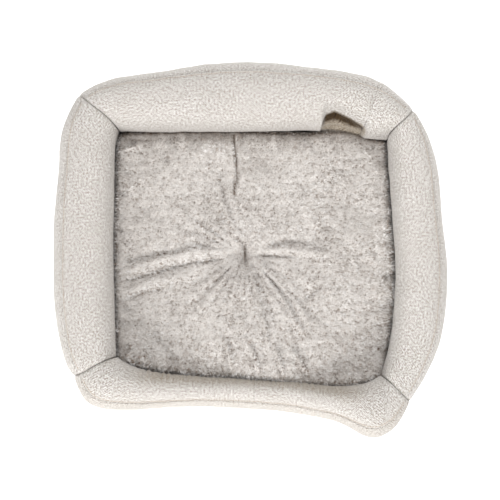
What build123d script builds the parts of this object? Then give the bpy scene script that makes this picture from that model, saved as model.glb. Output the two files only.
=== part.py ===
"""Pet cushion bed: four stuffed bolster walls round a loose tufted cushion.

The frame has its origin under the middle of the bed, on the surface that it
stands on, with +Z up, +Y to the back and the low entry side towards -Y.
"""
import os

from build123d import *

# Heights and thicknesses, in millimetres.
fabric = 1.5
base_thickness = 1.5
base_inset = 4
wadding_thickness = 12
lining_thickness = 1
lining_inset = 2
lining_corner = 6
wall_height = 152
corner_height = 148
dip_height = 92
fill_gap = 0.3
skirt_reach = 15

# The walls' shoulders and the rim seam, as shares of a wall's thickness.
shoulder_share = 0.42
rim_share = 0.14
skirt_start_share = 0.55

# The loose cushion and its tuft.
cushion_thickness = 62
cushion_clearance = 3
cushion_corner = 34
cushion_edge = 22
skin = 2
tuft_radius = 42
tuft_floor_radius = 10
tuft_depth = 20
thread_radius = 0.8
bar_tack_length = 18
bar_tack_width = 2.4
bar_tack_height = 1.6
button_radius = 12
button_thickness = 2
tuft_place = (-8, -7)

# The anti-slip dots.
dot_radius = 3
dot_thickness = 0.5
dot_pitch = 44
dot_columns = 10
dot_rows = 9

# The blank care label.
label_width = 30
label_height = 22
label_thickness = 0.6
label_place = (-6, 240.5)

# Each station crosses a wall: its inner and outer points in plan, and its height.
back_left = ((-173, 155), (-222, 198), corner_height)
back_right = ((180, 144), (212, 177), corner_height)
front_right = ((169, -164), (204, -197), corner_height)
front_left = ((-173, -141), (-223, -164), corner_height)

walls = {
    "left": [
        back_left,
        ((-177, 98), (-247, 106), wall_height),
        ((-178, 10), (-254, 0), wall_height),
        ((-176, -80), (-250, -86), wall_height),
        front_left,
    ],
    "back": [
        back_left,
        ((-120, 155), (-137, 229), wall_height),
        ((-10, 156), (-6, 240), wall_height),
        ((100, 155), (119, 231), wall_height),
        back_right,
    ],
    "right": [
        back_right,
        ((185, 90), (240, 106), wall_height),
        ((189, -10), (254, -14), wall_height),
        ((186, -92), (248, -100), wall_height),
        front_right,
    ],
    "front": [
        front_left,
        ((-159, -149), (-200, -199), corner_height),
        ((-110, -163), (-122, -207), 0.5 * (corner_height + dip_height)),
        ((-5, -172), (-7, -208), dip_height),
        ((95, -178), (92, -221), 0.45 * corner_height + 0.55 * dip_height),
        ((147, -173), (158, -240), corner_height),
        front_right,
    ],
}

# Where the pieced fabrics of the back and front walls are joined.
joins = {
    "back": (150, "back_cover_end", "back_cover_main"),
    "front": (8, "front_cover_right", "front_cover_left"),
}

floor_top = base_thickness + wadding_thickness + lining_thickness
cushion_bottom = floor_top + 0.5
cushion_top_height = cushion_bottom + cushion_thickness
tuft_plane = Plane(origin=(*tuft_place, 0))


def station_plane(station):
    """The upright plane of a station: its X points outward and its Y points up."""
    inner, outer, _ = station
    outward = Vector(outer[0] - inner[0], outer[1] - inner[1], 0)
    return Plane(
        origin=(inner[0], inner[1], base_thickness),
        x_dir=outward,
        z_dir=outward.cross(Vector(0, 0, 1)),
    )


def station_width(station):
    """The thickness of the wall at a station."""
    inner, outer, _ = station
    return (Vector(*outer) - Vector(*inner)).length


def foot_point(station):
    """Where the underside's edge crosses a station, just inside the wall's outer foot."""
    inner, outer, _ = station
    inward = Vector(*inner) - Vector(*outer)
    return Vector(*outer) + inward.normalized() * base_inset


def wall_form(stations, inset):
    """A wall's solid, drawn in from its outer surface by inset."""
    with BuildPart() as form:
        for station in stations:
            width = station_width(station)
            with BuildSketch(station_plane(station)) as section:
                with Locations((width / 2, 0)):
                    Rectangle(
                        width - 2 * inset,
                        station[2] - base_thickness - inset,
                        align=(Align.CENTER, Align.MIN),
                    )
                shoulders = section.vertices().group_by(Axis.Y)[-1]
                fillet(shoulders, radius=shoulder_share * width - inset)
        loft()
    return form.part


def skirt_zone(stations):
    """The space outside and below the rim seam, which runs round the outer shoulder."""
    with BuildPart() as zone:
        for station in stations:
            width = station_width(station)
            rim = station[2] - base_thickness - rim_share * width
            with BuildSketch(station_plane(station)):
                with Locations((skirt_start_share * width, -base_thickness)):
                    Rectangle(
                        width * (1 - skirt_start_share) + skirt_reach,
                        rim + base_thickness,
                        align=(Align.MIN, Align.MIN),
                    )
        loft()
    return zone.part


def well_outline(inset, corner):
    """The plan of the well between the walls, drawn in by inset."""
    inner = {name: [Vector(*station[0]) for station in walls[name]] for name in walls}
    with BuildSketch() as plan:
        with BuildLine():
            Line(inner["left"][0], inner["left"][-1])
            ThreePointArc(inner["front"][0], inner["front"][3], inner["front"][-1])
            ThreePointArc(inner["right"][-1], inner["right"][2], inner["right"][0])
            ThreePointArc(inner["back"][-1], inner["back"][2], inner["back"][0])
        make_face()
        offset(amount=-inset, kind=Kind.INTERSECTION)
        fillet(plan.vertices(), radius=corner)
    return plan.sketch


def finish(part, name):
    """Label a finished piece and write it out."""
    part.label = name
    export_step(part, f"parts/{name}.step")


os.makedirs("parts", exist_ok=True)

# The anti-slip dots, printed flush into the underside.
with BuildPart() as grip_dots:
    with BuildSketch():
        with GridLocations(dot_pitch, dot_pitch, dot_columns, dot_rows):
            Circle(dot_radius)
    extrude(amount=dot_thickness)
finish(grip_dots.part, "grip_dots")

# The underside is sewn in just inside the walls' outer feet.
with BuildPart() as base_panel:
    with BuildSketch():
        with BuildLine():
            for stations in walls.values():
                Spline(*[foot_point(station) for station in stations])
        make_face()
    extrude(amount=base_thickness)
    add(grip_dots.part, mode=Mode.SUBTRACT)
finish(base_panel.part, "base_panel")

with BuildPart() as base_wadding:
    with BuildSketch(Plane.XY.offset(base_thickness)):
        add(well_outline(inset=lining_inset, corner=lining_corner))
    extrude(amount=wadding_thickness)
finish(base_wadding.part, "base_wadding")

with BuildPart() as floor_lining:
    with BuildSketch(Plane.XY.offset(base_thickness + wadding_thickness)):
        add(well_outline(inset=lining_inset, corner=lining_corner))
    extrude(amount=lining_thickness)
finish(floor_lining.part, "floor_lining")

# Each wall is a filling under two skins, which meet at the rim seam.
for name, stations in walls.items():
    finish(wall_form(stations, fabric + fill_gap), f"{name}_filling")
    zone = skirt_zone(stations)

    with BuildPart() as skins:
        add(wall_form(stations, 0))
        add(wall_form(stations, fabric), mode=Mode.SUBTRACT)

    with BuildPart() as outer_panel:
        add(skins.part)
        add(zone, mode=Mode.INTERSECT)
    finish(outer_panel.part, f"{name}_outer_panel")

    with BuildPart() as cover:
        add(skins.part)
        add(zone, mode=Mode.SUBTRACT)
    if name in joins:
        join_x, right_piece, left_piece = joins[name]
        for piece, side in ((right_piece, Keep.TOP), (left_piece, Keep.BOTTOM)):
            with BuildPart() as cut_piece:
                add(cover.part)
                split(bisect_by=Plane.YZ.offset(join_x), keep=side)
            finish(cut_piece.part, piece)
    else:
        finish(cover.part, f"{name}_bolster_cover")

with BuildPart() as care_label:
    with BuildSketch(Plane.XY.offset(base_thickness)):
        with Locations(label_place):
            Rectangle(label_width, label_thickness)
    extrude(amount=label_height)
finish(care_label.part, "care_label")


def cushion_form(inset):
    """The cushion's solid with its tufted hollow, drawn in from its surface by inset."""
    with BuildPart() as form:
        with BuildSketch(Plane.XY.offset(cushion_bottom + inset)):
            add(well_outline(cushion_clearance + inset, cushion_corner - inset))
        extrude(amount=cushion_thickness - 2 * inset)
        rims = form.edges().filter_by(Plane.XY)
        fillet(rims, radius=cushion_edge - inset)
        # The tuft pulls the top down into a cone and the underside up into a flat recess.
        with BuildSketch(tuft_plane.offset(cushion_top_height - inset)):
            Circle(tuft_radius)
        with BuildSketch(tuft_plane.offset(cushion_top_height - tuft_depth - inset)):
            Circle(tuft_floor_radius)
        loft(mode=Mode.SUBTRACT)
        with BuildSketch(tuft_plane.offset(cushion_bottom)):
            Circle(button_radius + inset)
        extrude(amount=button_thickness + inset, mode=Mode.SUBTRACT)
        with BuildSketch(tuft_plane.offset(cushion_bottom)):
            Circle(thread_radius)
        extrude(amount=cushion_thickness, mode=Mode.SUBTRACT)
    return form.part


# The cushion's two faces are sewn together at mid height, round its filling.
seam_plane = Plane.XY.offset(cushion_bottom + cushion_thickness / 2)
for name, side in (("cushion_top", Keep.TOP), ("cushion_underside", Keep.BOTTOM)):
    with BuildPart() as face_panel:
        add(cushion_form(0))
        add(cushion_form(skin), mode=Mode.SUBTRACT)
        split(bisect_by=seam_plane, keep=side)
    finish(face_panel.part, name)

finish(cushion_form(skin + fill_gap), "cushion_filling")

# The tuft's thread runs from its bar tack on top, through the middle, to the button.
tuft_bottom = cushion_bottom + button_thickness
tack_base = cushion_top_height - tuft_depth
with BuildPart() as tuft_thread:
    with BuildSketch(tuft_plane.offset(tuft_bottom)):
        Circle(thread_radius)
    extrude(amount=tack_base - tuft_bottom)
    with BuildSketch(tuft_plane.offset(tack_base)):
        SlotOverall(bar_tack_length, bar_tack_width, rotation=90)
    extrude(amount=bar_tack_height)
finish(tuft_thread.part, "tuft_thread")

with BuildPart() as tuft_button:
    with BuildSketch(tuft_plane.offset(cushion_bottom)):
        Circle(button_radius)
    extrude(amount=button_thickness)
    fillet(tuft_button.edges().group_by(Axis.Z)[0], radius=button_thickness / 2)
finish(tuft_button.part, "tuft_button")
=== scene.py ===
"""Looks of the pet cushion bed: woven bolster walls round a tufted plush cushion."""
import math

import bpy
import numpy as np

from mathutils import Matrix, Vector
from mathutils.kdtree import KDTree
from numpy.linalg import norm


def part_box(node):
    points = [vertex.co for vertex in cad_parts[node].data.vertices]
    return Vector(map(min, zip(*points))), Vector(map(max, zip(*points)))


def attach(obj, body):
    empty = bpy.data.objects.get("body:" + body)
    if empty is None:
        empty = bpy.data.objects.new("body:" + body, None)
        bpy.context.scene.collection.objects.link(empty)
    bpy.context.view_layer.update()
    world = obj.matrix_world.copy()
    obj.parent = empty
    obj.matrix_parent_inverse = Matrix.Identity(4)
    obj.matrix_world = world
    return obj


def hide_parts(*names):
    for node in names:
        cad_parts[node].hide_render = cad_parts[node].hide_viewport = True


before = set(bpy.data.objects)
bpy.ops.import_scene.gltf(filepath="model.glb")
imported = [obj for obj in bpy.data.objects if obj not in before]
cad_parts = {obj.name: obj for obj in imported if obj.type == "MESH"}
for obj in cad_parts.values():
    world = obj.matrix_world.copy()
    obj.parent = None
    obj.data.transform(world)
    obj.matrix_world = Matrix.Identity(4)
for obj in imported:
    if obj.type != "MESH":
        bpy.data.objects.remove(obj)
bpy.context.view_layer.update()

MM = 0.001

# Driving sizes, in metres.
FOOT = 0.0015  # where the walls stand, on the underside
HEM = 0.0005  # how low the skirts and the label reach
WALL_TOP = 0.152
END_TOP = 0.150  # of a wall near its ends
CORNER_TOP = 0.148
DIP_TOP = 0.092
FABRIC = 0.0015
TAPE = 0.0003
STEP_ALONG = 0.0018  # between a wall grid's rows
STITCH_PITCH = 0.0036
STITCH_LENGTH = STITCH_PITCH * 0.78
STITCH_WIDTH = 0.0009
STITCH_LIFT = 0.0002
WAVE_COUNT = 7  # sine waves in each random ripple


def station(
    inner, outer, top=WALL_TOP, inner_foot=0.016, outer_foot=0.004, crest=0.50, shoulder=0.66
):
    """One cross-section of a wall: its inner and outer point in plan, in millimetres, its height,
    how far its feet stand in, where its crest lies and how high its outer side is widest."""
    ends = (MM * place for place in (*inner, *outer))
    return (*ends, top, inner_foot, outer_foot, crest, shoulder)


def corner_station(inner, outer):
    """A cross-section at a corner, where a wall is lower and its foot stands less far in."""
    return station(inner, outer, CORNER_TOP, 0.010)


BACK_LEFT = corner_station((-172.5, 154.5), (-222.5, 198.5))
BACK_RIGHT = corner_station((180, 144), (212.5, 177.5))
FRONT_RIGHT = corner_station((169, -164), (204.5, -198))
FRONT_LEFT = corner_station((-173, -141), (-225, -166))
WALLS = {
    "left": [
        BACK_LEFT,
        station((-174.5, 145), (-235.5, 174), END_TOP),
        station((-176, 98), (-248, 108)),
        station((-177, 35), (-253, 30)),
        station((-176, -42), (-252.5, -48)),
        station((-174, -98), (-246.5, -108)),
        station((-173, -126), (-235.5, -147.5), END_TOP),
        FRONT_LEFT,
    ],
    "back": [
        BACK_LEFT,
        station((-162, 154), (-203, 210.5), END_TOP),
        station((-120, 153), (-140, 226.2)),
        station((-55, 153), (-60, 238.5)),
        station((20, 153.5), (20, 241)),
        station((88, 154), (108, 231.2)),
        station((160, 143.5), (185, 204.2), END_TOP),
        BACK_RIGHT,
    ],
    "right": [
        BACK_RIGHT,
        station((180.5, 118), (232, 142), END_TOP),
        station((184, 56), (245.5, 60)),
        station((188, -15), (253.2, -20)),
        station((186.5, -76), (250, -85)),
        station((180.5, -120), (237.5, -138), END_TOP),
        FRONT_RIGHT,
    ],
    "front": [
        FRONT_LEFT,
        station((-161, -148), (-210.5, -195.5), CORNER_TOP, 0.012),
        station((-140, -156), (-173, -209.5), 0.140, 0.010, 0.003, 0.48, 0.56),
        station((-100, -164), (-108, -209), 0.115, 0.004, 0.001, 0.40, 0.28),
        station((-5, -170), (-5, -211.5), DIP_TOP, 0.000, 0.000, 0.33, 0.12),
        station((80, -176), (80, -220), 0.106, 0.003, 0.001, 0.38, 0.22),
        station((124, -178), (130, -233), 0.136, 0.008, 0.003, 0.48, 0.52),
        corner_station((148, -174), (158, -243)),
        corner_station((162, -168), (190, -224.5)),
        FRONT_RIGHT,
    ],
}


def make_piece(name, points, faces, layers):
    """A mesh object from arrays: points, same-sided faces and UV layers given per point."""
    mesh = bpy.data.meshes.new(name)
    mesh.vertices.add(len(points))
    mesh.vertices.foreach_set("co", np.asarray(points, np.float32).ravel())
    mesh.loops.add(faces.size)
    mesh.loops.foreach_set("vertex_index", faces.astype(np.int32).ravel())
    mesh.polygons.add(len(faces))
    starts = np.arange(len(faces), dtype=np.int32) * faces.shape[1]
    mesh.polygons.foreach_set("loop_start", starts)
    mesh.update(calc_edges=True)
    for layer_name, values in layers.items():
        layer = mesh.uv_layers.new(name=layer_name)
        layer.data.foreach_set("uv", np.asarray(values, np.float32)[faces.ravel()].ravel())
    mesh.polygons.foreach_set("use_smooth", np.ones(len(faces), bool))
    piece = bpy.data.objects.new(name, mesh)
    bpy.context.scene.collection.objects.link(piece)
    return piece


def thicken(piece, thickness):
    """Gives a skin its fabric's thickness, inwards."""
    modifier = piece.modifiers.new("fabric", "SOLIDIFY")
    modifier.thickness = thickness
    modifier.offset = -1
    bpy.context.view_layer.objects.active = piece
    bpy.ops.object.modifier_apply(modifier=modifier.name)


def dress(piece, material, body, slot, *replaced):
    """A piece's material, the body it rides on, its slot (not used) and the CAD nodes it replaces.
    """
    piece.data.materials.append(material)
    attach(piece, body)
    if replaced:
        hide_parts(*replaced)


def grid_piece(name, points, flip=1, **layers):
    """A mesh object of quads from a grid of points, with UV layers given per point."""
    index = np.arange(points[..., 0].size).reshape(points.shape[:2])
    corners = (index[:-1, :-1], index[1:, :-1], index[1:, 1:], index[:-1, 1:])
    faces = np.stack([corner.ravel() for corner in corners], axis=1)[:, ::flip]
    layers = {layer: values.reshape(-1, 2) for layer, values in layers.items()}
    return make_piece(name, points.reshape(-1, 3), faces, layers)


def spline_through(knots, values, places):
    """Natural cubic splines through columns of values at knots, read at places."""
    gaps = np.diff(knots)
    count = len(knots)
    matrix = np.eye(count)
    slopes = np.diff(values, axis=0) / gaps[:, None]
    bends = np.zeros_like(values)
    for k in range(1, count - 1):
        matrix[k, k - 1:k + 2] = gaps[k - 1], 2 * (gaps[k - 1] + gaps[k]), gaps[k]
        bends[k] = 6 * (slopes[k] - slopes[k - 1])
    bends = np.linalg.solve(matrix, bends)
    span = np.clip(np.searchsorted(knots, places) - 1, 0, count - 2)
    gap = gaps[span, None]
    left = (knots[span + 1] - places)[:, None]
    right = (places - knots[span])[:, None]
    return (
        (bends[span] * left ** 3 + bends[span + 1] * right ** 3) / (6 * gap)
        + (values[span] / gap - bends[span] * gap / 6) * left
        + (values[span + 1] / gap - bends[span + 1] * gap / 6) * right
    )


def waves(points, length, seed):
    """Smooth random waves of about the given length, mostly from -1 to 1."""
    source = np.random.default_rng(seed)
    total = np.zeros(points.shape[:-1])
    for _ in range(WAVE_COUNT):
        direction = source.normal(size=points.shape[-1])
        direction *= 2 * math.pi / (length * norm(direction) * source.uniform(0.7, 1.5))
        total += np.sin(points @ direction + source.uniform(0, 2 * math.pi))
    return total / math.sqrt(WAVE_COUNT * 2)


def unit(vectors):
    """Vectors scaled to length 1."""
    return vectors / np.maximum(norm(vectors, axis=-1, keepdims=True), 1e-12)


def surface_normals(points):
    """Unit normals of a grid of points."""
    return unit(np.cross(np.gradient(points, axis=0), np.gradient(points, axis=1)))


def smooth_step(low, high, values):
    """An S-curve from 0 at low to 1 at high, whichever of the two is larger."""
    share = np.clip((values - low) / (high - low), 0, 1)
    return share * share * (3 - 2 * share)


def bell(distance, width):
    """1 at no distance, falling off smoothly over about a width."""
    return np.exp(-(distance / width) ** 2)


# ---- bolster walls

INNER_LEVEL = 0.74  # height of a wall's fullest inner level, as a share of its height
DOME = 2.35  # superellipse exponent of a wall's domed top
RIM_TURN = math.radians(56)  # where the rim seam runs, from the outer side up the dome
# Columns of a wall's grid: up its inner face, over its top to the rim seam, on down to its
# widest level and down its outer face.
INNER_COLUMNS, TOP_COLUMNS, RIM_COLUMNS, OUTER_COLUMNS = 30, 44, 12, 30
CREST_COLUMN = INNER_COLUMNS + TOP_COLUMNS // 2
RIM_COLUMN = INNER_COLUMNS + TOP_COLUMNS
# Where those columns lie, as shares of the two faces and angles over the top.
TURNS_IN = np.linspace(0, 1, INNER_COLUMNS, endpoint=False)
TURNS_TOP = np.concatenate([
    np.linspace(0, math.pi - RIM_TURN, TOP_COLUMNS, endpoint=False),
    np.linspace(math.pi - RIM_TURN, math.pi, RIM_COLUMNS, endpoint=False),
])
TURNS_OUT = np.linspace(0, 1, OUTER_COLUMNS)
JOINS = {"back": 0.885, "front": 0.53}  # where a cover's two pieces join, along the wall

# Relief of the fabric: each rise or depth, with the length of its waves and its reach.
STUFFING = [(0.0006, 0.080, 0), (0.0004, 0.028, 20)]  # and what it adds to the wall's seed
SEAM_PULL, SEAM_REACH = 0.0019, 0.0016
WANDER, WANDER_LENGTH, WANDER_REACH = 0.0018, 0.055, 0.020
GATHER, GATHER_LENGTH, GATHER_REACH = 0.0009, 0.011, 0.010
PUCKER, PUCKER_LENGTH, PUCKER_REACH = 0.0005, 0.016, 0.018
JOIN_PINCH, JOIN_REACH = 0.0003, 0.0016
RIM_PINCH, RIM_REACH = 0.0011, 0.0022
FOOT_TUCK, FOOT_REACH = 0.0012, 0.003
PLEAT, PLEAT_LENGTH, PLEAT_SWELL_LENGTH = 0.0013, 0.0075, 0.05

# Painted shade of the seams, each with a reach, and of the front wall's fabric.
SEAM_SHADE, SEAM_SHADE_REACH = 0.38, 0.0007
JOIN_SHADE, JOIN_SHADE_REACH = 0.03, 0.0009
INSIDE_SHADE, PLEAT_SHADE, SKIRT_SHADE = 0.72, 0.24, 0.22


def wall_section(width, form):
    """Points (outward, up) of one cross-section, from the inner foot over the top to the outer."""
    top, inner_foot, outer_foot, crest, shoulder = form
    inner_level = FOOT + INNER_LEVEL * (top - FOOT)
    outer_level = FOOT + shoulder * (top - FOOT)
    inner_u = inner_foot * (1 - TURNS_IN) ** 1.5
    inner_z = FOOT + (inner_level - FOOT) * TURNS_IN
    inside = TURNS_TOP < math.pi / 2
    half = np.where(inside, -crest, 1 - crest) * width
    top_u = crest * width + half * np.abs(np.cos(TURNS_TOP)) ** (2 / DOME)
    level = np.where(inside, inner_level, outer_level)
    top_z = level + (top - level) * np.abs(np.sin(TURNS_TOP)) ** (2 / DOME)
    outer_u = width - outer_foot * TURNS_OUT ** 2
    outer_z = outer_level - (outer_level - HEM) * TURNS_OUT
    return (
        np.concatenate([inner_u, top_u, outer_u]),
        np.concatenate([inner_z, top_z, outer_z]),
    )


def wall_grid(name):
    """A wall's surface as a grid, rows along it and columns over its section, with the
    section's own normals and each row's place along the wall."""
    stations = np.array(WALLS[name])
    middle = (stations[:, 0:2] + stations[:, 2:4]) / 2
    knots = np.concatenate([[0], np.cumsum(norm(np.diff(middle, axis=0), axis=1))])
    rows = int(knots[-1] / STEP_ALONG) + 1
    places = np.linspace(0, knots[-1], rows)
    forms = spline_through(knots, stations, places)
    points, normals = [], []
    for form in forms:
        span = form[2:4] - form[0:2]
        width = norm(span)
        across, up = wall_section(width, form[4:])
        step_across, step_up = np.gradient(across), np.gradient(up)
        size = np.maximum(np.hypot(step_across, step_up), 1e-9)
        points.append(np.column_stack([form[0:2] + np.outer(across / width, span), up]))
        plan_normal = np.outer(-step_up / size, span / width)
        normals.append(np.column_stack([plan_normal, step_across / size]))
    return np.array(points), np.array(normals), places


def seam_wander(points, end_distance):
    """Lets the mitre seams wander a little, by the same amount on both walls they join."""
    ends = np.where(np.arange(len(points)) < len(points) / 2, 0, len(points) - 1)
    seam = points[ends]
    span = seam[:, -1] - seam[:, 0]
    sideways = unit(np.stack([-span[:, 1], span[:, 0], np.zeros(len(span))], axis=1))
    amount = WANDER * waves(seam, WANDER_LENGTH, seed=90) * bell(end_distance, WANDER_REACH)
    return amount[..., None] * sideways[:, None, :]


def shape_wall(name):
    """A wall's grid with its seams pulled in, its stuffing uneven and its fabric puckered, with
    how much painted shade each point takes, soft and deep; and 1 if the grid's normals point
    outwards, else -1."""
    points, section_normals, places = wall_grid(name)
    normals = surface_normals(points)
    sign = 1 if normals[len(points) // 2, CREST_COLUMN, 2] > 0 else -1
    normals *= sign
    length = places[-1]
    seed = len(name)
    columns = np.arange(points.shape[1])
    end_distance = np.minimum(places, length - places)[:, None]
    join_distance = np.abs(places[:, None] - JOINS.get(name, math.inf) * length)
    rim_distance = np.abs(points[..., 2] - points[:, RIM_COLUMN:RIM_COLUMN + 1, 2])
    foot_distance = points[..., 2] - FOOT
    push = sum(rise * waves(points, reach, seed + more) for rise, reach, more in STUFFING)
    gathers = waves(points * [1, 1, 2.5], GATHER_LENGTH, seed + 40)
    push += GATHER * gathers * np.exp(-end_distance / GATHER_REACH)
    push -= JOIN_PINCH * bell(join_distance, JOIN_REACH)
    push -= RIM_PINCH * bell(rim_distance, RIM_REACH) * (columns > CREST_COLUMN)
    push -= FOOT_TUCK * np.exp(-foot_distance / FOOT_REACH)
    puckers = waves(points * [1, 1, 0.25], PUCKER_LENGTH, seed + 60)
    push += PUCKER * puckers * np.exp(-foot_distance / PUCKER_REACH)
    if name == "front":
        swell = 0.6 + 0.4 * waves(points[..., :1], PLEAT_SWELL_LENGTH, seed=72)
        pleats = waves(points[..., :1], PLEAT_LENGTH, seed=71) * swell
        inside = smooth_step(INNER_COLUMNS + 26, INNER_COLUMNS + 6, columns)
        push += PLEAT * pleats * inside * smooth_step(0.02, 0.07, end_distance)
    push *= smooth_step(0, 0.004, end_distance)
    pinch = -SEAM_PULL * np.exp(-end_distance / SEAM_REACH) * np.ones(points.shape[:2])
    points = points + normals * push[..., None] + section_normals * pinch[..., None]
    points = points + seam_wander(points, end_distance)
    shade = np.zeros((*points.shape[:2], 2))
    # Painted shade in the grooves of the mitre seams and of the covers' join.
    shade[..., 1] = np.maximum(
        SEAM_SHADE * bell(end_distance, SEAM_SHADE_REACH),
        JOIN_SHADE * bell(join_distance, JOIN_SHADE_REACH),
    )
    if name == "front":
        # Painted shade on the front wall's inner face under the pile, varying with its pleats, and
        # on its skirt.
        under_pile = smooth_step(INNER_COLUMNS + 34, INNER_COLUMNS + 10, columns)
        under_pile = under_pile * smooth_step(0.03, 0.09, end_distance)
        painted_shade = under_pile * (INSIDE_SHADE + PLEAT_SHADE * pleats)
        painted_shade += SKIRT_SHADE * smooth_step(RIM_COLUMN - 8, RIM_COLUMN + 4, columns)
        shade[..., 0] = np.clip(painted_shade, 0, 1)
    if name == "back":
        # The crease's painted shade goes into both shade channels.
        points, painted_shade, hollow = crease_back(points)
        shade[..., 0] = painted_shade
        shade[..., 1] = np.maximum(shade[..., 1], hollow)
    return points, shade, sign


# A crease near the back wall's right end: the fabric is drawn outwards behind its inner edge,
# into a hollow under the lip and a sloping facet below that. Each is (place along X, depth), in
# millimetres.
CREASE_LIP = [(91.5, 0), (97, 14), (108.6, 21), (127.2, 15), (144, 8.8), (149, 2), (153, 0)]
CREASE_FACET = [(91.5, 0), (97, 8), (108.6, 11.8), (120, 11.8), (130, 10), (144, 7.6), (151, 0)]
CREASE_HOLLOW = [(94, 0), (98, 7), (110, 9), (125, 7), (144, 2.5), (149, 0)]
CREASE_LEVEL = [(96.5, 110.5), (130, 109)]  # the facet's top edge: (place, height)
CREASE_BAND = 0.005  # how far above and below that edge the facet turns into the hollow
CREASE_FOOT = (0.072, 0.086)  # heights between which the crease begins,
HOLLOW_TOP = (0.118, 0.127)  # the hollow ends under the lip,
LIP_SAG = (0.118, 0.130)  # the lip sags
SHADE_TOP = (0.126, 0.133)  # and the shade ends
CREASE_RIDGES = (0.1215, 0.1300)
RIDGE_RISE, RIDGE_REACH = 0.0012, 0.0018


def crease_back(points):
    """Draws the crease into the back wall; returns the points and painted shade, soft and deep."""
    x, height = points[..., 0], points[..., 2]
    lip, facet, hollow, level = (
        np.interp(x, *np.array(profile).T * MM)
        for profile in (CREASE_LIP, CREASE_FACET, CREASE_HOLLOW, CREASE_LEVEL)
    )
    up = smooth_step(level - CREASE_BAND, level + CREASE_BAND, height)
    under_lip = 1 - smooth_step(*HOLLOW_TOP, height)
    columns = np.arange(points.shape[1])
    inside = 1 - smooth_step(INNER_COLUMNS + 8, INNER_COLUMNS + TOP_COLUMNS * 0.85, columns)
    inside = inside * smooth_step(*CREASE_FOOT, height)
    draw = facet * (1 - up) + (lip + hollow * under_lip) * up
    for ridge in CREASE_RIDGES:
        draw = draw - RIDGE_RISE * bell(x - ridge, RIDGE_REACH) * (1 - up)
    draw = draw * inside
    beyond = draw - facet * inside
    moved = points.copy()
    moved[..., 1] += draw
    moved[..., 2] -= 0.10 * draw * smooth_step(*LIP_SAG, height)
    # Painted shade: soft where the fabric is drawn in, deep in the hollow under the lip.
    below = 1 - smooth_step(*SHADE_TOP, height)
    painted_shade = smooth_step(0.001, 0.004, draw) * below
    return moved, painted_shade, smooth_step(0.0008, 0.0036, beyond) * below


def metric_layer(points, anchor):
    """UVs in metres for the weave: along the wall from its middle, and over its section from
    the anchor column, which the weave's ribs follow."""
    along = norm(np.diff(points, axis=0), axis=2)
    across = norm(np.diff(points, axis=1), axis=2)
    u = np.concatenate([np.zeros((1, points.shape[1])), np.cumsum(along, axis=0)])
    v = np.concatenate([np.zeros((len(points), 1)), np.cumsum(across, axis=1)], axis=1)
    return np.stack([u - u[len(points) // 2], v - v[:, anchor:anchor + 1]], axis=2)


def skin_piece(name, part, wall, anchor, material, replaced):
    """One fabric skin of a wall, cut from the wall's grid."""
    points, shade, sign = wall["points"][part], wall["shade"][part], wall["sign"]
    piece = grid_piece(name, points, sign, weave=wall["layers"][anchor][part], shade=shade)
    thicken(piece, FABRIC)
    dress(piece, material, "bed", "woven_fabric", *replaced)


# ---- materials

# Colours along a ramp, as (place, colour).
RIB_STOPS = [(0.35, (0.5, 0.5, 0.5)), (0.65, (1, 1, 1))]
BLOTCH_STOPS = [(0.3, (0.93, 0.925, 0.915)), (0.7, (1, 1, 1))]
WEAVE_STOPS = [
    (0.10, (0.22, 0.18, 0.15)), (0.48, (0.5, 0.472, 0.441)), (0.88, (0.705, 0.69, 0.668)),
]
TUFT_STOPS = [(0.0, (0.46, 0.385, 0.33)), (0.5, (0.93, 0.92, 0.91)), (1.0, (1.0, 1.0, 1.0))]
# Curls of the pile, with painted shade in the crevices between them.
CURLS_AND_SHADE_STOPS = [(0.395, (0.28, 0.215, 0.17)), (0.485, (0.95, 0.935, 0.92)), (0.54, (1, 1, 1))]
PILE_STOPS = [
    (0.0, (0.54, 0.465, 0.4)), (0.2, (0.84, 0.824, 0.808)), (1.0, (0.915, 0.906, 0.897)),
]
BACKING_STOPS = [(0.3, (0.54, 0.505, 0.475)), (0.7, (0.72, 0.69, 0.66))]
# Painted shade multiplied into the wall fabric: a soft tint and a deep, dark one.
SOFT_PAINTED_SHADE = (0.66, 0.595, 0.50, 1)
DEEP_PAINTED_SHADE = (0.17, 0.12, 0.065, 1)
# Painted shade of the backing along the bare lines.
BARE_LINE_SHADE = (0.13, 0.095, 0.07, 1)


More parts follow.
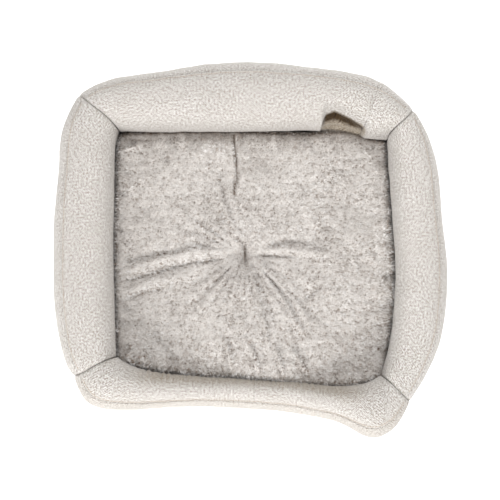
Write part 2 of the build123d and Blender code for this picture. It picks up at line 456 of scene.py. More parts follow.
class Surface:
    """A node material under construction, with short ways to add nodes."""

    def __init__(self, name, roughness=0.9, sheen=0.0, sheen_tint=(1, 1, 1)):
        self.material = bpy.data.materials.new(name)
        self.material.use_nodes = True
        self.tree = self.material.node_tree
        self.shader = self.tree.nodes["Principled BSDF"]
        self.set_shader({
            "Roughness": roughness, "Specular IOR Level": 0.25, "Sheen Weight": sheen,
            "Sheen Roughness": 0.45, "Sheen Tint": (*sheen_tint, 1),
        })

    def set_shader(self, values):
        """Sets the shader's own sockets."""
        for socket, value in values.items():
            self.shader.inputs[socket].default_value = value

    def node(self, kind, settings=None, **inputs):
        """Adds a node; its inputs are numbers, colours or other nodes' outputs."""
        added = self.tree.nodes.new("ShaderNode" + kind)
        for key, value in (settings or {}).items():
            setattr(added, key, value)
        for key, value in inputs.items():
            self.feed(added, key.replace("_", " "), value)
        return added

    def feed(self, node, socket, value):
        """Sets a socket, or links an output to it."""
        target = node.inputs[int(socket[1:])] if socket[1:].isdigit() else node.inputs[socket]
        if isinstance(value, bpy.types.NodeSocket):
            self.tree.links.new(value, target)
        else:
            target.default_value = value

    def math(self, operation, first, second=0.0):
        """One step of arithmetic on numbers or outputs."""
        return self.node("Math", {"operation": operation}, _0=first, _1=second).outputs[0]

    def multiply_add(self, value, factor, addend):
        """A number or output times a factor, plus another."""
        settings = {"operation": "MULTIPLY_ADD"}
        return self.node("Math", settings, _0=value, _1=factor, _2=addend).outputs[0]

    def wave(self, value, length):
        """A sine wave of the given length along a value."""
        return self.math("SINE", self.math("MULTIPLY", value, 2 * math.pi / length))

    def layer(self, name):
        """The UVs of a layer."""
        return self.node("UVMap", {"uv_map": name}).outputs["UV"]

    def split(self, vector):
        """A vector's three numbers."""
        return self.node("SeparateXYZ", Vector=vector).outputs

    def noise(self, scale, detail=2.0, roughness=0.5, vector=None):
        """A noise texture's value, in object space unless a vector is given."""
        vector = vector or self.node("TexCoord").outputs["Object"]
        return self.node(
            "TexNoise", Scale=scale, Detail=detail, Roughness=roughness, Vector=vector
        ).outputs["Fac"]

    def ramp(self, factor, stops):
        """Colours along a factor, from a list of (place, colour)."""
        node = self.node("ValToRGB", Fac=factor)
        elements = node.color_ramp.elements
        while len(elements) < len(stops):
            elements.new(0.5)
        for element, (place, colour) in zip(elements, stops):
            element.position = place
            element.color = (*colour, 1)
        return node.outputs["Color"]

    def mix(self, blend, factor, first, second):
        """Two colours mixed."""
        settings = {"data_type": "RGBA", "blend_type": blend}
        return self.node("Mix", settings, _0=factor, _6=first, _7=second).outputs[2]

    def bump(self, height, strength, distance):
        """Feeds the shader's normal from a height."""
        node = self.node("Bump", Strength=strength, Distance=distance, Height=height)
        self.tree.links.new(node.outputs["Normal"], self.shader.inputs["Normal"])

    def colour(self, output):
        """Feeds the shader's base colour."""
        self.feed(self.shader, "Base Color", output)


def herringbone(surface, rib, column):
    """Height of a slightly uneven herringbone weave from 0 to 1, and its vector in metres."""
    layer = surface.layer("weave")
    u, v, _ = surface.split(layer)
    turn = surface.math("PINGPONG", u, column)
    slant = surface.math("ADD", v, turn)
    wander = surface.math("MULTIPLY", surface.noise(90, 2, 0.5, layer), rib * 0.7)
    slant = surface.math("ADD", slant, wander)
    ribs = surface.wave(slant, rib)
    patches = surface.ramp(surface.noise(220, 2, 0.6, layer), RIB_STOPS)
    ribs = surface.math("MULTIPLY", ribs, patches)
    yarns = surface.wave(u, rib * 0.45)
    height = surface.multiply_add(yarns, 0.3, ribs)
    return surface.multiply_add(height, 0.38, 0.5), layer


def woven_fabric():
    """Cream herringbone upholstery weave with flecked yarns, and painted shade."""
    surface = Surface("woven_herringbone", roughness=0.92, sheen=0.25, sheen_tint=(1, 0.98, 0.95))
    height, layer = herringbone(surface, rib=0.0030, column=0.0105)
    flecks = surface.noise(450, 2, 0.6, layer)
    yarn = surface.multiply_add(flecks, 2.8, surface.multiply_add(height, 0.80, -1.28))
    blotches = surface.ramp(surface.noise(45, 3, 0.6), BLOTCH_STOPS)
    fabric = surface.mix("MULTIPLY", 1.0, surface.ramp(yarn, WEAVE_STOPS), blotches)
    # Painted shade: the shade layer's first channel darkens the fabric a little, its second a lot.
    fold, hollow, _ = surface.split(surface.layer("shade"))
    painted_shade = surface.mix("MULTIPLY", fold, fabric, SOFT_PAINTED_SHADE)
    surface.colour(surface.mix("MULTIPLY", hollow, painted_shade, DEEP_PAINTED_SHADE))
    surface.bump(surface.multiply_add(flecks, 0.7, height), 0.8, 0.0008)
    return surface.material


def plain_weave(name, dark, light, pitch, roughness=0.9):
    """A plain woven cloth seen as crossing yarns, in object space."""
    surface = Surface(name, roughness=roughness, sheen=0.1)
    x, y, _ = surface.split(surface.node("TexCoord").outputs["Object"])
    height = surface.math("MULTIPLY", surface.wave(x, pitch), surface.wave(y, pitch))
    tone = surface.multiply_add(height, 0.25, surface.noise(700, 2, 0.6))
    surface.colour(surface.ramp(tone, [(0.25, dark), (0.8, light)]))
    surface.bump(height, 0.4, 0.0004)
    return surface.material


def thread_material(name, dark, light):
    """Twisted thread: fine diagonal plies."""
    surface = Surface(name, roughness=0.75, sheen=0.2)
    grain = surface.noise(1500, 2, 0.6)
    surface.colour(surface.ramp(grain, [(0.3, dark), (0.7, light)]))
    surface.bump(grain, 0.5, 0.0002)
    return surface.material


def pile_material():
    """The plush's fibres: darker at the root, pale and soft at the tip, with painted shade."""
    surface = Surface("plush_pile", roughness=0.9, sheen=0.15, sheen_tint=(1, 0.98, 0.97))
    tone, reached, _ = surface.split(surface.layer("fibre"))
    length = surface.ramp(reached, PILE_STOPS)
    tuft = surface.ramp(tone, TUFT_STOPS)
    patches = surface.multiply_add(surface.noise(13, 2, 0.6), 0.20, -0.10)
    place = surface.node("TexCoord").outputs["Object"]
    ripples = surface.node("Mapping", Vector=place, Rotation=(0, 0, 0.35), Scale=(0.5, 1, 1))
    # The curls' dark parts are painted shade in the crevices between them.
    curls = surface.noise(390, 1.5, 0.5, ripples.outputs["Vector"])
    curls = surface.ramp(surface.math("ADD", curls, patches), CURLS_AND_SHADE_STOPS)
    tufted = surface.mix("MULTIPLY", 1.0, length, tuft)
    surface.colour(surface.mix("MULTIPLY", 1.0, tufted, curls))
    return surface.material


def backing_material():
    """The plush's backing cloth, seen only where the pile parts, with painted shade there."""
    surface = Surface("plush_backing", roughness=0.95)
    grain = surface.noise(500, 3, 0.6)
    cloth = surface.ramp(grain, BACKING_STOPS)
    # Painted shade along the bare lines, from the shade layer.
    bare = surface.split(surface.layer("shade"))[0]
    surface.colour(surface.mix("MIX", bare, cloth, BARE_LINE_SHADE))
    surface.bump(grain, 0.5, 0.0008)
    return surface.material


# ---- the loose cushion

SEAM_HEIGHT = 0.042
UNDERSIDE_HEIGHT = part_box("cushion_underside")[0][2]
PLATEAU = 0.040  # rise of the plush's edges above the seam,
CROWN = 0.006  # and of its middle above that
CORNER_ROUND = 0.035
EDGE_POWER = 60  # how squarely the top turns into the sides
EDGE_TURN = math.pi / 2 * 0.92  # how closely the grid's lines crowd at the sides
GRID_A = 361
GRID_B = 331
BACKING_STEP = 2
UNDERSIDE_STEP = 10
HALF_WIDTH, HALF_DEPTH, ASPECT = 0.186, 0.166, 1.12
BACKING_FABRIC = 0.0012
UNDERSIDE_FABRIC = 0.001

# The tuft: its hollow, the gathers round it and finer rays further out.
TUFT = np.array([-0.008, -0.007])
TUFT_DEPTH = 0.015
TUFT_REACH = 0.017
SPOKES = [(1, 11, 1.3), (0.7, 17, 0.4), (0.5, 7, 0)]  # (weight, number, phase)
SPOKE_RISE, SPOKE_REACH = 0.0011, 0.026
RAY_RISE, RAY_REACH = 0.0009, 0.085

FOLD_GAIN = 1.35
FOLD_NARROW = 0.72
FULL_VALLEY = 6  # depth of a fully shaded valley, in millimetres
SLIT_WIDTH = 0.0030
GATHER_RISE, GATHER_WAVE = 0.0018, 0.024  # along the cushion's sides
SWELLS = [(0.0016, 0.060, 11), (0.0007, 0.018, 12)]  # (rise, length, seed)

# The cushion's sides in plan, each a spline of (share along the side, place in millimetres).
SIDES = {
    "left": [(-1, -178), (0, -180), (1, -179)],
    "right": [(-1, 180), (-0.7, 185), (-0.3, 191), (0.3, 188), (1, 184)],
    "front": [(-1, -149), (-0.6, -163.5), (0, -170.5), (0.55, -181.5), (0.78, -180.5), (1, -171)],
    "back": [(-1, 158), (0, 158), (0.52, 158), (0.74, 159.5), (0.87, 152), (1, 148)],
}

# Folds of the plush top, in millimetres: points in plan, half width and rise; a negative rise
# is a valley.
FOLDS = [
    ([(-30, -13), (-80, -19), (-112, -28), (-146, -38), (-179, -45)], 5.5, -4.5),
    ([(-34, -6), (-82, -7), (-118, -15), (-153, -26), (-179, -32)], 7.5, 4),
    ([(-64, 3), (-108, -5), (-143, -12), (-177, -21)], 5.5, -3.2),
    ([(-69, -33), (-118, -43), (-158, -56), (-179, -63)], 8, 2.8),
    ([(-108, -51), (-138, -57), (-163, -68)], 6, -2.2),
    ([(4, -17), (30, -51), (47, -72), (56, -92), (68, -110)], 3, 5),
    ([(18, -33), (35, -50), (55, -68), (69, -88)], 3, -3),
    ([(4, -11), (37, -48), (61, -74), (77, -97)], 5, 4),
    ([(0, -33), (16, -86), (20, -107), (24, -132)], 3, 4.8),
    ([(10, -38), (30, -82), (34, -114)], 6, -1.8),
    ([(-15, -33), (-22, -77), (-30, -112)], 10, 2.6),
    ([(20, 1), (44, 7), (62, 9), (84, 3)], 5, -3.2),
    ([(12, -3), (49, -1), (79, -6), (108, -9)], 6, 3.6),
    ([(10, -8), (39, -10), (64, -11)], 5, -3.8),
    ([(69, -68), (95, -50)], 3.5, -2.6),
    ([(-10, 9), (-22, 26), (-37, 58), (-46, 96)], 5, 4),
    ([(-20, 7), (-44, 41), (-59, 76)], 9, -2.2),
    ([(0, -128), (10, -160)], 3.2, 5),
    ([(31, -128), (44, -164)], 3.2, 5.4),
    ([(54, -132), (74, -164)], 3.4, 5),
    ([(-32, -122), (-24, -158)], 3.6, 4.4),
    ([(-124, -120), (-104, -119)], 4, -2.2),
    ([(189, -33), (173, -39)], 6, -4.8),
    ([(187, -68), (170, -80)], 6, -3.2),
    ([(-177, 107), (-158, 101)], 6, -2.2),
    ([(-177, 74), (-164, 70)], 4.5, -2),
    ([(-179, 28), (-166, 22)], 5, -2.4),
    ([(-163, 145), (-138, 143)], 6, -2.2),
    ([(-175, 127), (-148, 135)], 4.5, 4),
]
# Where the pile parts towards the back, in millimetres.
PARTING = [(-22, 151), (-19, 122), (-17, 101), (-21, 71)]
PARTING_WIDTH = 0.0022
PARTING_DEPTH = 0.0040

# Where the tuft's thread pinches the plush shut, in millimetres: (path, depth).
SLITS = [
    ([(-7.8, 5), (-6.8, -4), (-7.5, -17)], 8.5),
    ([(-17, 13), (-10, 8.5)], 4),
]


def along_path(plan, path):
    """How far plan points lie from a path given in millimetres, and their share of its length."""
    nearest = np.full(plan.shape[:-1], 1e9)
    share = np.zeros(plan.shape[:-1])
    path = np.array(path) * MM
    lengths = norm(np.diff(path, axis=0), axis=1)
    reached = 0.0
    for start, end, length in zip(path[:-1], path[1:], lengths):
        foot = np.clip(((plan - start) @ (end - start)) / length ** 2, 0, 1)
        gap = norm(plan - start - foot[..., None] * (end - start), axis=-1)
        closer = gap < nearest
        nearest = np.where(closer, gap, nearest)
        share = np.where(closer, (reached + foot * length) / lengths.sum(), share)
        reached += length
    return nearest, share


def cushion_plan(a, b):
    """Places in plan of shares a (left to right) and b (front to back), from -1 to 1."""
    round_a = a * np.sqrt(1 - CORNER_ROUND * b ** 2 * a ** 2)
    round_b = b * np.sqrt(1 - CORNER_ROUND * a ** 2 * b ** 2)
    side = {}
    for name, shares in (("left", b), ("right", b), ("front", a), ("back", a)):
        knots, values = np.array(SIDES[name]).T
        spline = spline_through(knots, values[:, None] * MM, shares.ravel())
        side[name] = spline.reshape(shares.shape)
    x = side["left"] + (side["right"] - side["left"]) * (round_a + 1) / 2
    y = side["front"] + (side["back"] - side["front"]) * (round_b + 1) / 2
    return np.stack([x, y], axis=-1)


def crowded(count):
    """Places from -1 to 1 that crowd at both ends."""
    return np.sin(np.linspace(-1, 1, count) * EDGE_TURN) / math.sin(EDGE_TURN)


def end_taper(share):
    """How a fold fades towards both ends of its path."""
    return smooth_step(0, 0.2, share) * smooth_step(0, 0.25, 1 - share)


def cushion_surface():
    """The plush top as a grid of points, from its seam up over its crown, how much of the
    plateau's rise each has, and its distance from the nearest side with the way out to it."""
    a, b = np.meshgrid(crowded(GRID_A), crowded(GRID_B), indexing="ij")
    plan = cushion_plan(a, b)
    dome = (1 - np.abs(a) ** EDGE_POWER) ** 0.5 * (1 - np.abs(b) ** EDGE_POWER) ** 0.5
    height = SEAM_HEIGHT + PLATEAU * dome + CROWN * (1 - a ** 2) * (1 - b ** 2)
    radius = norm(plan - TUFT, axis=-1)
    height -= TUFT_DEPTH / (1 + (radius / TUFT_REACH) ** 1.7)
    angle = np.arctan2(plan[..., 1] - TUFT[1], plan[..., 0] - TUFT[0])
    spokes = sum(weight * np.sin(number * angle + phase) for weight, number, phase in SPOKES)
    height += SPOKE_RISE * spokes * (radius / 0.02) * np.exp(-radius / SPOKE_REACH)
    rays = np.sin(23 * angle + 3 * np.sin(angle * 2)) + np.sin(31 * angle + 2.1)
    rays *= 1 + 0.8 * np.cos(angle + 2.3)
    height += RAY_RISE * rays * smooth_step(0.015, 0.04, radius) * bell(radius, RAY_REACH)
    for path, width, rise in FOLDS:
        gap, share = along_path(plan, path)
        power = 1.25 if rise < 0 else 2
        fold = np.exp(-(gap / (width * MM * FOLD_NARROW)) ** power)
        fold *= (0.25 + 0.75 * end_taper(share)) * np.minimum(1, dome * 1.3)
        height += FOLD_GAIN * rise * MM * fold
    for path, depth in SLITS:
        height -= depth * MM * np.exp(-(along_path(plan, path)[0] / SLIT_WIDTH) ** 1.5)
    gap, share = along_path(plan, PARTING)
    height -= PARTING_DEPTH * bell(gap, PARTING_WIDTH) * smooth_step(0, 0.15, 1 - share)
    edge = np.maximum(np.abs(a), np.abs(b))
    rim_place = np.where(np.abs(a) > np.abs(b), plan[..., 1], plan[..., 0])
    gathers = waves(rim_place[..., None], GATHER_WAVE, seed=5)
    height += GATHER_RISE * gathers * smooth_step(0.80, 0.93, edge) * dome
    for rise, length, seed in SWELLS:
        height += rise * waves(plan, length, seed) * dome
    nearer_a = (1 - np.abs(a)) * ASPECT < 1 - np.abs(b)
    gap = np.where(nearer_a, (1 - np.abs(a)) * HALF_WIDTH, (1 - np.abs(b)) * HALF_DEPTH)
    outward = np.where(nearer_a, np.sign(a), 0), np.where(nearer_a, 0, np.sign(b))
    return np.dstack([plan, height]), dome, np.dstack([gap, *outward, 0 * gap])


def cushion_pieces(materials):
    """The plush top's backing and the plain underside; returns the top's grid for its pile."""
    points, dome, edges = cushion_surface()
    cloth = points[::BACKING_STEP, ::BACKING_STEP]
    # Painted shade on the backing along the parting and the slits.
    bare = bell(np.maximum(bare_distance(cloth[..., :2]), 0), BARE_SHADE_REACH)
    top = grid_piece("cushion_plush_backing", cloth, shade=np.dstack([bare, bare]))
    thicken(top, BACKING_FABRIC)
    dress(top, materials["backing"], "cushion", "plush", "cushion_top", "cushion_filling")

    below = points[::UNDERSIDE_STEP, ::UNDERSIDE_STEP].copy()
    depth = SEAM_HEIGHT - UNDERSIDE_HEIGHT
    below[..., 2] = SEAM_HEIGHT - depth * dome[::UNDERSIDE_STEP, ::UNDERSIDE_STEP] ** 0.6
    under = grid_piece("cushion_plain_underside", below, flip=-1)
    thicken(under, UNDERSIDE_FABRIC)
    dress(under, materials["lining"], "cushion", "lining_fabric", "cushion_underside")
    return points, edges


# ---- the plush's pile

CLUMPS = 15000  # tufts
FIBRES = 66600  # in each half of the pile
FIBRE_LENGTH = 0.0037
FIBRE_WIDTH = 0.00062
ROOT_SINK = 0.0006  # how deep the fibres start below the backing's face
GATHERED = 0.65  # how far a fibre's tip is drawn to its tuft's middle
UPWARD, OUTWARD = 0.46, 0.5  # reach of a fibre's lower half, as shares of its length
TIP_REACH = 1.7  # and of its tip, against its lower half
LEANING, TIP_LEANING = 0.30, 0.85
SIDE_LEANING = 0.62  # how far the nap leans out at the cushion's sides
# A share of tufts is darkened with painted shade, standing for the shadows between tufts.
SHADED_TUFT_SHARE = 0.10  # share of tufts that are dark
# The tufts' paleness, its random spread, and how much painted shade a shaded tuft takes.
TUFT_PALENESS, TUFT_SPREAD, TUFT_PAINTED_SHADE = 0.80, 0.18, 0.60
ATLAS_MARGIN = 0.08
FRINGE = 0.008  # how far in from the sides the nap leans outwards
PARTED = 0.0009  # half width of the bare line where the pile parts
PINCHED = 0.0004  # and of the slits where the tuft's thread pinches it
# The backing's darkness beside the bare lines is painted shade.
BARE_SHADE_REACH = 0.0013  # how far the backing is dark beside them
RADIAL_REACH = 0.060  # how far round the tuft the nap points away from it
PILE_SEED = 21


def scatter(points, edges, count, source):
    """Even random places on a grid of points: positions, normals and the edges' field."""
    normals = surface_normals(points)
    corners = points[:-1, :-1], points[1:, :-1], points[:-1, 1:], points[1:, 1:]
    areas = norm(np.cross(corners[1] - corners[0], corners[2] - corners[0]), axis=2)
    areas[1::2] = areas[1::2, ::-1]
    reached = np.cumsum(areas.ravel())
    marks = (np.arange(count) + source.random(count)) * reached[-1] / count
    cell = np.minimum(np.searchsorted(reached, marks), areas.size - 1)
    row, column = np.divmod(cell, areas.shape[1])
    column = np.where(row % 2 == 1, areas.shape[1] - 1 - column, column)
    across, along = source.random((2, count, 1))
    blended = []
    for field in (points, normals, edges):
        near = field[row, column] * (1 - across) + field[row, column + 1] * across
        far = field[row + 1, column] * (1 - across) + field[row + 1, column + 1] * across
        blended.append(near * (1 - along) + far * along)
    blended[1] /= norm(blended[1], axis=1, keepdims=True)
    return blended


def nearest_clump(roots, clumps):
    """Which clump each root belongs to."""
    tree = KDTree(len(clumps))
    for number, place in enumerate(clumps):
        tree.insert(place, number)
    tree.balance()
    return np.array([tree.find(root)[1] for root in roots])


def lean_field(places, normals, source):
    """The way the nap lies at each clump: away from the tuft near it, brushed further out."""
    angle = -0.9 + 0.9 * waves(places[:, :2], 0.110, seed=31)
    angle += 0.5 * waves(places[:, :2], 0.022, seed=32) + source.normal(0, 0.55, len(places))
    nap = np.stack([np.cos(angle), np.sin(angle), np.zeros(len(places))], axis=1)
    away = np.zeros_like(nap)
    away[:, :2] = places[:, :2] - TUFT
    near = bell(norm(away, axis=1, keepdims=True), RADIAL_REACH)
    nap = unit(nap * (1 - 0.85 * near) + unit(away) * 0.85 * near)
    nap -= normals * (nap * normals).sum(axis=1, keepdims=True)
    return unit(nap)


def valley_depth(plan):
    """How deep in a fold's valley each place in plan lies, from 0 to 1."""
    depth = np.zeros(plan.shape[:-1])
    for path, width, rise in FOLDS:
        if rise < 0:
            gap, share = along_path(plan, path)
            valley = end_taper(share) * -rise / FULL_VALLEY * bell(gap, 0.45 * width * MM)
            depth = np.maximum(depth, valley)
    return np.minimum(depth, 1)


def bare_distance(plan):
    """How far each place in plan is outside the bare lines; negative within them."""
    gaps = [along_path(plan, PARTING)[0] - PARTED]
    gaps += [along_path(plan, path)[0] - PINCHED for path, _ in SLITS]
    return np.min(gaps, axis=0)


def tuft_tones(clumps, mine, roots, edges, edge, source):
    """How pale each fibre is: tufts differ; painted shade darkens a few tufts, the valleys and the
    back edge, and painted light brightens the fringe.
    """
    # Painted shade between tufts: a share of tufts, larger towards the front, is darkened.
    shaded_share = SHADED_TUFT_SHARE * (1 + 0.8 * waves(clumps[:, :2], 0.05, seed=34))
    shaded_share *= 1 + 2.5 * smooth_step(-0.085, -0.135, clumps[:, 1])
    tone = source.normal(0, TUFT_SPREAD, len(clumps))
    tone -= TUFT_PAINTED_SHADE * (source.random(len(clumps)) < shaded_share)
    # Painted shade in the folds' valleys, and painted light that makes the fringe at the sides
    # paler.
    tone = tone[mine] * (1 - edge) - 0.42 * valley_depth(roots[:, :2]) + 0.3 * edge
    # Painted shadow of the back wall along the pile's back edge.
    tone -= 0.75 * smooth_step(0.030, 0.008, edges[:, 0]) * (edges[:, 2] > 0.5)
    return np.clip(TUFT_PALENESS + tone + source.normal(0, 0.08, len(roots)), 0, 1)


def atlas_cells(count):
    """UVs that give each fibre's five points a cell of their own."""
    columns = int(math.ceil(math.sqrt(count)))
    cell = np.stack(np.divmod(np.arange(count), columns), axis=1)[:, None, :]
    low, high = ATLAS_MARGIN, 1 - ATLAS_MARGIN
    corners = np.array([[low, low], [high, low], [low, 0.5], [high, 0.5], [0.5, high]])
    return (cell + corners) / columns


def grow_pile(name, points, edges, seed, material):
    """Fibres drawn together into small tufts, as two-part blades with a pointed tip."""
    source = np.random.default_rng(seed)
    clumps, clump_normals, _ = scatter(points, edges, CLUMPS // 2, source)
    clump_lean = lean_field(clumps, clump_normals, source)
    roots, normals, edges = scatter(points, edges, FIBRES, source)
    bare = bare_distance(roots[:, :2])
    kept = bare > 0
    roots, normals, edges, bare = roots[kept], normals[kept], edges[kept], bare[kept]
    count = len(roots)
    mine = nearest_clump(roots, clumps)
    radius = norm((roots[:, :2] - TUFT) * [1.6, 0.8], axis=1)
    pressed = 0.30 + 0.70 * smooth_step(0.002, 0.016, radius)
    pressed *= 0.45 + 0.55 * smooth_step(0.0, 0.0035, bare)
    length = FIBRE_LENGTH * pressed * source.uniform(0.75, 1.2, count)
    length *= (0.88 + 0.12 * waves(clumps, 0.03, seed=33))[mine]
    length = length[:, None]
    lean = unit(clump_lean[mine] + source.normal(0, 0.35, (count, 3)))
    lean = unit(lean - normals * (lean * normals).sum(axis=1, keepdims=True))
    edge = smooth_step(FRINGE, 0.0, edges[:, :1])
    flat = (1 - 0.5 * pressed[:, None]) * (1 - edge)
    upward = UPWARD * (normals * (1 - 0.6 * edge) + np.array([0, 0, 0.8]) * edge)
    outward = SIDE_LEANING * edge * edges[:, 1:]
    rise = TIP_REACH * (upward + outward)
    middle = roots + length * (upward + LEANING * flat * lean + OUTWARD * outward)
    tip = roots + length * (rise + TIP_LEANING * flat * lean)
    gathered = clumps[mine] + length * (rise + TIP_LEANING * flat * clump_lean[mine])
    together = GATHERED * (1 - 0.5 * edge)
    tip = (1 - together) * tip + together * gathered
    side = unit(np.cross(normals, lean) + source.normal(0, 0.18, (count, 3)))
    half = side * FIBRE_WIDTH / 2 * source.uniform(0.7, 1.25, (count, 1))
    root = roots - normals * ROOT_SINK
    blade = np.stack([root - half, root + half, middle - 0.85 * half, middle + 0.85 * half, tip], 1)
    first = np.arange(count)[:, None] * 5
    faces = np.concatenate([first + [0, 1, 3], first + [0, 3, 2], first + [2, 3, 4]])
    fibre = np.zeros((count, 5, 2))
    fibre[..., 0] = tuft_tones(clumps, mine, roots, edges, edge[:, 0], source)[:, None]
    fibre[..., 1] = [0, 0, 0.5, 0.5, 1]
    layers = {"OFBake": atlas_cells(count).reshape(-1, 2), "fibre": fibre.reshape(-1, 2)}
    pile = make_piece(name, blade.reshape(-1, 3), faces, layers)
    dress(pile, material, "cushion", "plush")


# ---- seams and stitches


def grains(centres, along, outward):
    """Small rounded stitches, each lying along a direction on a surface."""
    rings, sides = 5, 6
    turn = np.linspace(0, math.pi, rings)
    round_turn = np.arange(sides) * 2 * math.pi / sides
    x = -np.cos(turn)[:, None] * np.ones(sides) * STITCH_LENGTH / 2
    swell = (0.25 + 0.75 * np.sin(turn))[:, None] * STITCH_WIDTH / 2
    y = swell * np.cos(round_turn)
    z = swell * np.sin(round_turn)
    sideways = unit(np.cross(outward, along))
    points = (
        centres[:, None, None, :]
        + x[None, :, :, None] * along[:, None, None, :]
        + y[None, :, :, None] * sideways[:, None, None, :]
        + z[None, :, :, None] * outward[:, None, None, :]
    )
    ring, side = np.meshgrid(np.arange(rings - 1), np.arange(sides), indexing="ij")
    near, far = side.ravel(), ((side + 1) % sides).ravel()
    base = ring.ravel() * sides
    quads = np.stack([base + near, base + far, base + sides + far, base + sides + near], axis=1)
    starts = np.arange(len(centres))[:, None, None] * rings * sides
    return points.reshape(-1, 3), (quads[None] + starts).reshape(-1, 4)


def resample(path, normals, pitch):
    """Evenly spaced places along a path, with their directions and normals."""
    lengths = np.concatenate([[0], np.cumsum(norm(np.diff(path, axis=0), axis=1))])
    marks = np.arange(pitch / 2, lengths[-1], pitch)
    place = np.stack([np.interp(marks, lengths, path[:, k]) for k in range(3)], axis=1)
    normal = unit(np.stack([np.interp(marks, lengths, normals[:, k]) for k in range(3)], axis=1))
    step = np.gradient(place, axis=0)
    return place, unit(step), normal


def stitch_row(name, rows, material):
    """A piece of stitches along one or more paths, each with its normals."""
    points, faces, total = [], [], 0
    for path, normals in rows:
        centres, along, outward = resample(path, normals, STITCH_PITCH)
        centres += outward * STITCH_LIFT
        grain_points, grain_faces = grains(centres, along, outward)
        points.append(grain_points)
        faces.append(grain_faces + total)
        total += len(grain_points)
    piece = make_piece(name, np.concatenate(points), np.concatenate(faces), {})
    dress(piece, material, "bed", "thread")


# ---- putting it together

TOPSTITCH_COLUMN = RIM_COLUMN - 2
COVER_NODES = {
    "back": ("back_cover_main", "back_cover_end"),
    "front": ("front_cover_left", "front_cover_right"),
}


def build_walls(materials):
    """The four walls' skins and their topstitching."""
    stitches = []
    fabric = materials["fabric"]
    for name in WALLS:
        points, shade, sign = shape_wall(name)
        layers = {
            "crest": metric_layer(points, CREST_COLUMN),
            "foot": metric_layer(points, points.shape[1] - 1),
        }
        wall = {"points": points, "shade": shade, "sign": sign, "layers": layers}
        every_row = slice(0, len(points))
        skirt = (every_row, slice(RIM_COLUMN, None))
        replaced = (f"{name}_outer_panel", f"{name}_filling")
        skin_piece(f"{name}_skirt", skirt, wall, "foot", fabric, replaced)
        pieces = {f"{name}_cover": (every_row, f"{name}_bolster_cover")}
        if name in JOINS:
            join = int(len(points) * JOINS[name])
            first, second = slice(0, join + 1), slice(join, len(points))
            pieces = {
                f"{name}_cover_left_piece": (first, COVER_NODES[name][0]),
                f"{name}_cover_right_piece": (second, COVER_NODES[name][1]),
            }
        for piece, (rows, node) in pieces.items():
            part = (rows, slice(0, RIM_COLUMN + 1))
            skin_piece(piece, part, wall, "crest", fabric, (node,))
        normals = surface_normals(points) * sign
        stitches.append((points[3:-3, TOPSTITCH_COLUMN], normals[3:-3, TOPSTITCH_COLUMN]))
    stitch_row("rim_topstitching", stitches, materials["thread"])


def care_label_tape(material):
    """The blank label: a satin tape folded double, its ends sewn into the foot of the wall."""
    low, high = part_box("care_label")
    fold = high[2] - 0.002
    turns = np.linspace(0, 1, 33)
    z = HEM + (fold - HEM) * np.minimum(2.2 * np.minimum(turns, 1 - turns), 1)
    z += 0.0012 * np.cos(np.pi * (turns - 0.5)) ** 8
    spread = 0.0032 * smooth_step(0.3, 0.7, turns) + 0.0020 * np.sin(np.pi * turns) ** 0.5
    y = high[1] - 0.0015 + spread
    x = np.linspace(low[0], high[0], 15)
    curl = 0.0012 * np.linspace(-1, 1, len(x)) ** 2
    places = x, y[:, None] + curl * (z / fold)[:, None], z[:, None]
    tape = grid_piece("care_label_tape", np.stack(np.broadcast_arrays(*places), axis=2))
    thicken(tape, TAPE)
    dress(tape, material, "bed", "label_tape", "care_label")


def dress_cad_nodes(materials):
    """Materials for the CAD nodes that show as they are."""
    nodes = {
        "base_panel": "base", "grip_dots": "gel", "base_wadding": "wadding",
        "floor_lining": "lining", "tuft_button": "button", "tuft_thread": "tuft_thread",
    }
    for node, finish in nodes.items():
        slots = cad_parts[node].material_slots
        if not slots:
            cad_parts[node].data.materials.append(materials[finish])
        for slot in slots:
            slot.material = materials[finish]


SWEEP_RADIUS = 3.0
SWEEP_BEND = 2.5
FLOOR_GLOW = 0.35
WORLD_GLOW = 0.60
LENS = 85
CAMERA_TILT = 4
CAMERA_AIM = (0.0, -0.004, 0.12)
CAMERA_DISTANCE = 1.512
LAMP_AIM = (0, 0, 0.08)
LAMPS = [  # (name, place, watts, size)
    ("key", (-0.56, -2.2, 1.30), 63, 1.1),
    ("top", (0.30, 0.60, 1.5), 14, 0.9),
]


def studio_sweep():
    """A round floor that curves up into a wall, so that no horizon shows."""
    turns = np.linspace(0, math.pi / 2, 12)
    radii = np.concatenate([[0.001, 0.5, 1.5], SWEEP_RADIUS + SWEEP_BEND * np.sin(turns)])
    heights = np.concatenate([[0, 0, 0], SWEEP_BEND * (1 - np.cos(turns))]) - 0.0005
    around = np.linspace(0, 2 * math.pi, 97)
    places = np.outer(radii, np.cos(around)), np.outer(radii, np.sin(around)), heights[:, None]
    return grid_piece("studio_floor", np.stack(np.broadcast_arrays(*places), axis=2))


def aim_at(data, place, direction):
    """A lamp or camera at a place, looking in a direction."""
    holder = bpy.data.objects.new(data.name, data)
    holder.location = place
    holder.rotation_mode = "QUATERNION"
    holder.rotation_quaternion = direction.to_track_quat("-Z", "Y")
    bpy.context.scene.collection.objects.link(holder)
    return holder


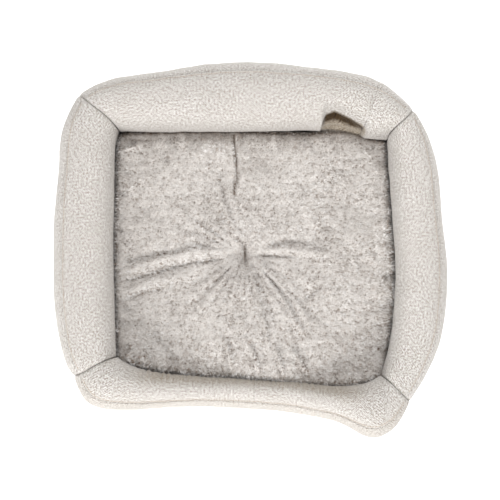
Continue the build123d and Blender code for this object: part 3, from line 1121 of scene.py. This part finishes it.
def build_stage():
    """A plain pale floor, soft studio light and the camera above the bed."""
    floor = studio_sweep()
    surface = Surface("studio_floor", roughness=1.0)
    surface.set_shader({
        "Base Color": (0.93, 0.93, 0.93, 1), "Emission Color": (1, 1, 1, 1),
        "Emission Strength": FLOOR_GLOW, "Specular IOR Level": 0,
    })
    floor.data.materials.append(surface.material)

    world = bpy.data.worlds.new("studio")
    bpy.context.scene.world = world
    world.use_nodes = True
    background = world.node_tree.nodes["Background"]
    background.inputs["Color"].default_value = (1, 1, 1, 1)
    background.inputs["Strength"].default_value = WORLD_GLOW

    for name, place, energy, size in LAMPS:
        lamp = bpy.data.lights.new(name, "AREA")
        lamp.energy = energy
        lamp.size = size
        aim_at(lamp, Vector(place), Vector(LAMP_AIM) - Vector(place))

    camera = bpy.data.cameras.new("camera")
    camera.lens = LENS
    camera.sensor_width = 36
    tilt = math.radians(CAMERA_TILT)
    back = Vector((0, -math.sin(tilt), math.cos(tilt)))
    place = Vector(CAMERA_AIM) + back * CAMERA_DISTANCE
    bpy.context.scene.camera = aim_at(camera, place, -back)
    bpy.context.scene.view_settings.view_transform = "Standard"


materials = {
    "fabric": woven_fabric(),
    "thread": thread_material("topstitch_thread", (0.36, 0.27, 0.20), (0.52, 0.42, 0.33)),
    "tuft_thread": thread_material("tuft_thread_ply", (0.060, 0.045, 0.035), (0.14, 0.11, 0.09)),
    "backing": backing_material(),
    "pile": pile_material(),
    "lining": plain_weave("lining_weave", (0.50, 0.46, 0.41), (0.68, 0.64, 0.58), 0.0016),
    "base": plain_weave("base_weave", (0.26, 0.24, 0.21), (0.42, 0.40, 0.36), 0.0022),
    "gel": thread_material("grip_gel", (0.55, 0.55, 0.52), (0.66, 0.66, 0.63)),
    "wadding": thread_material("fibre_wadding", (0.78, 0.78, 0.77), (0.88, 0.88, 0.87)),
    "label": plain_weave("label_satin", (0.80, 0.79, 0.76), (0.88, 0.87, 0.84), 0.0007, 0.5),
    "button": thread_material("button_plastic", (0.68, 0.66, 0.62), (0.76, 0.74, 0.70)),
}
build_walls(materials)
care_label_tape(materials["label"])
plush, plush_edges = cushion_pieces(materials)
middle = GRID_A // 2
halves = {"left": slice(0, middle + 1), "right": slice(middle, None)}
for seed, (side, half) in enumerate(halves.items(), start=PILE_SEED):
    grow_pile(f"cushion_pile_{side}", plush[half], plush_edges[half], seed, materials["pile"])
dress_cad_nodes(materials)
build_stage()
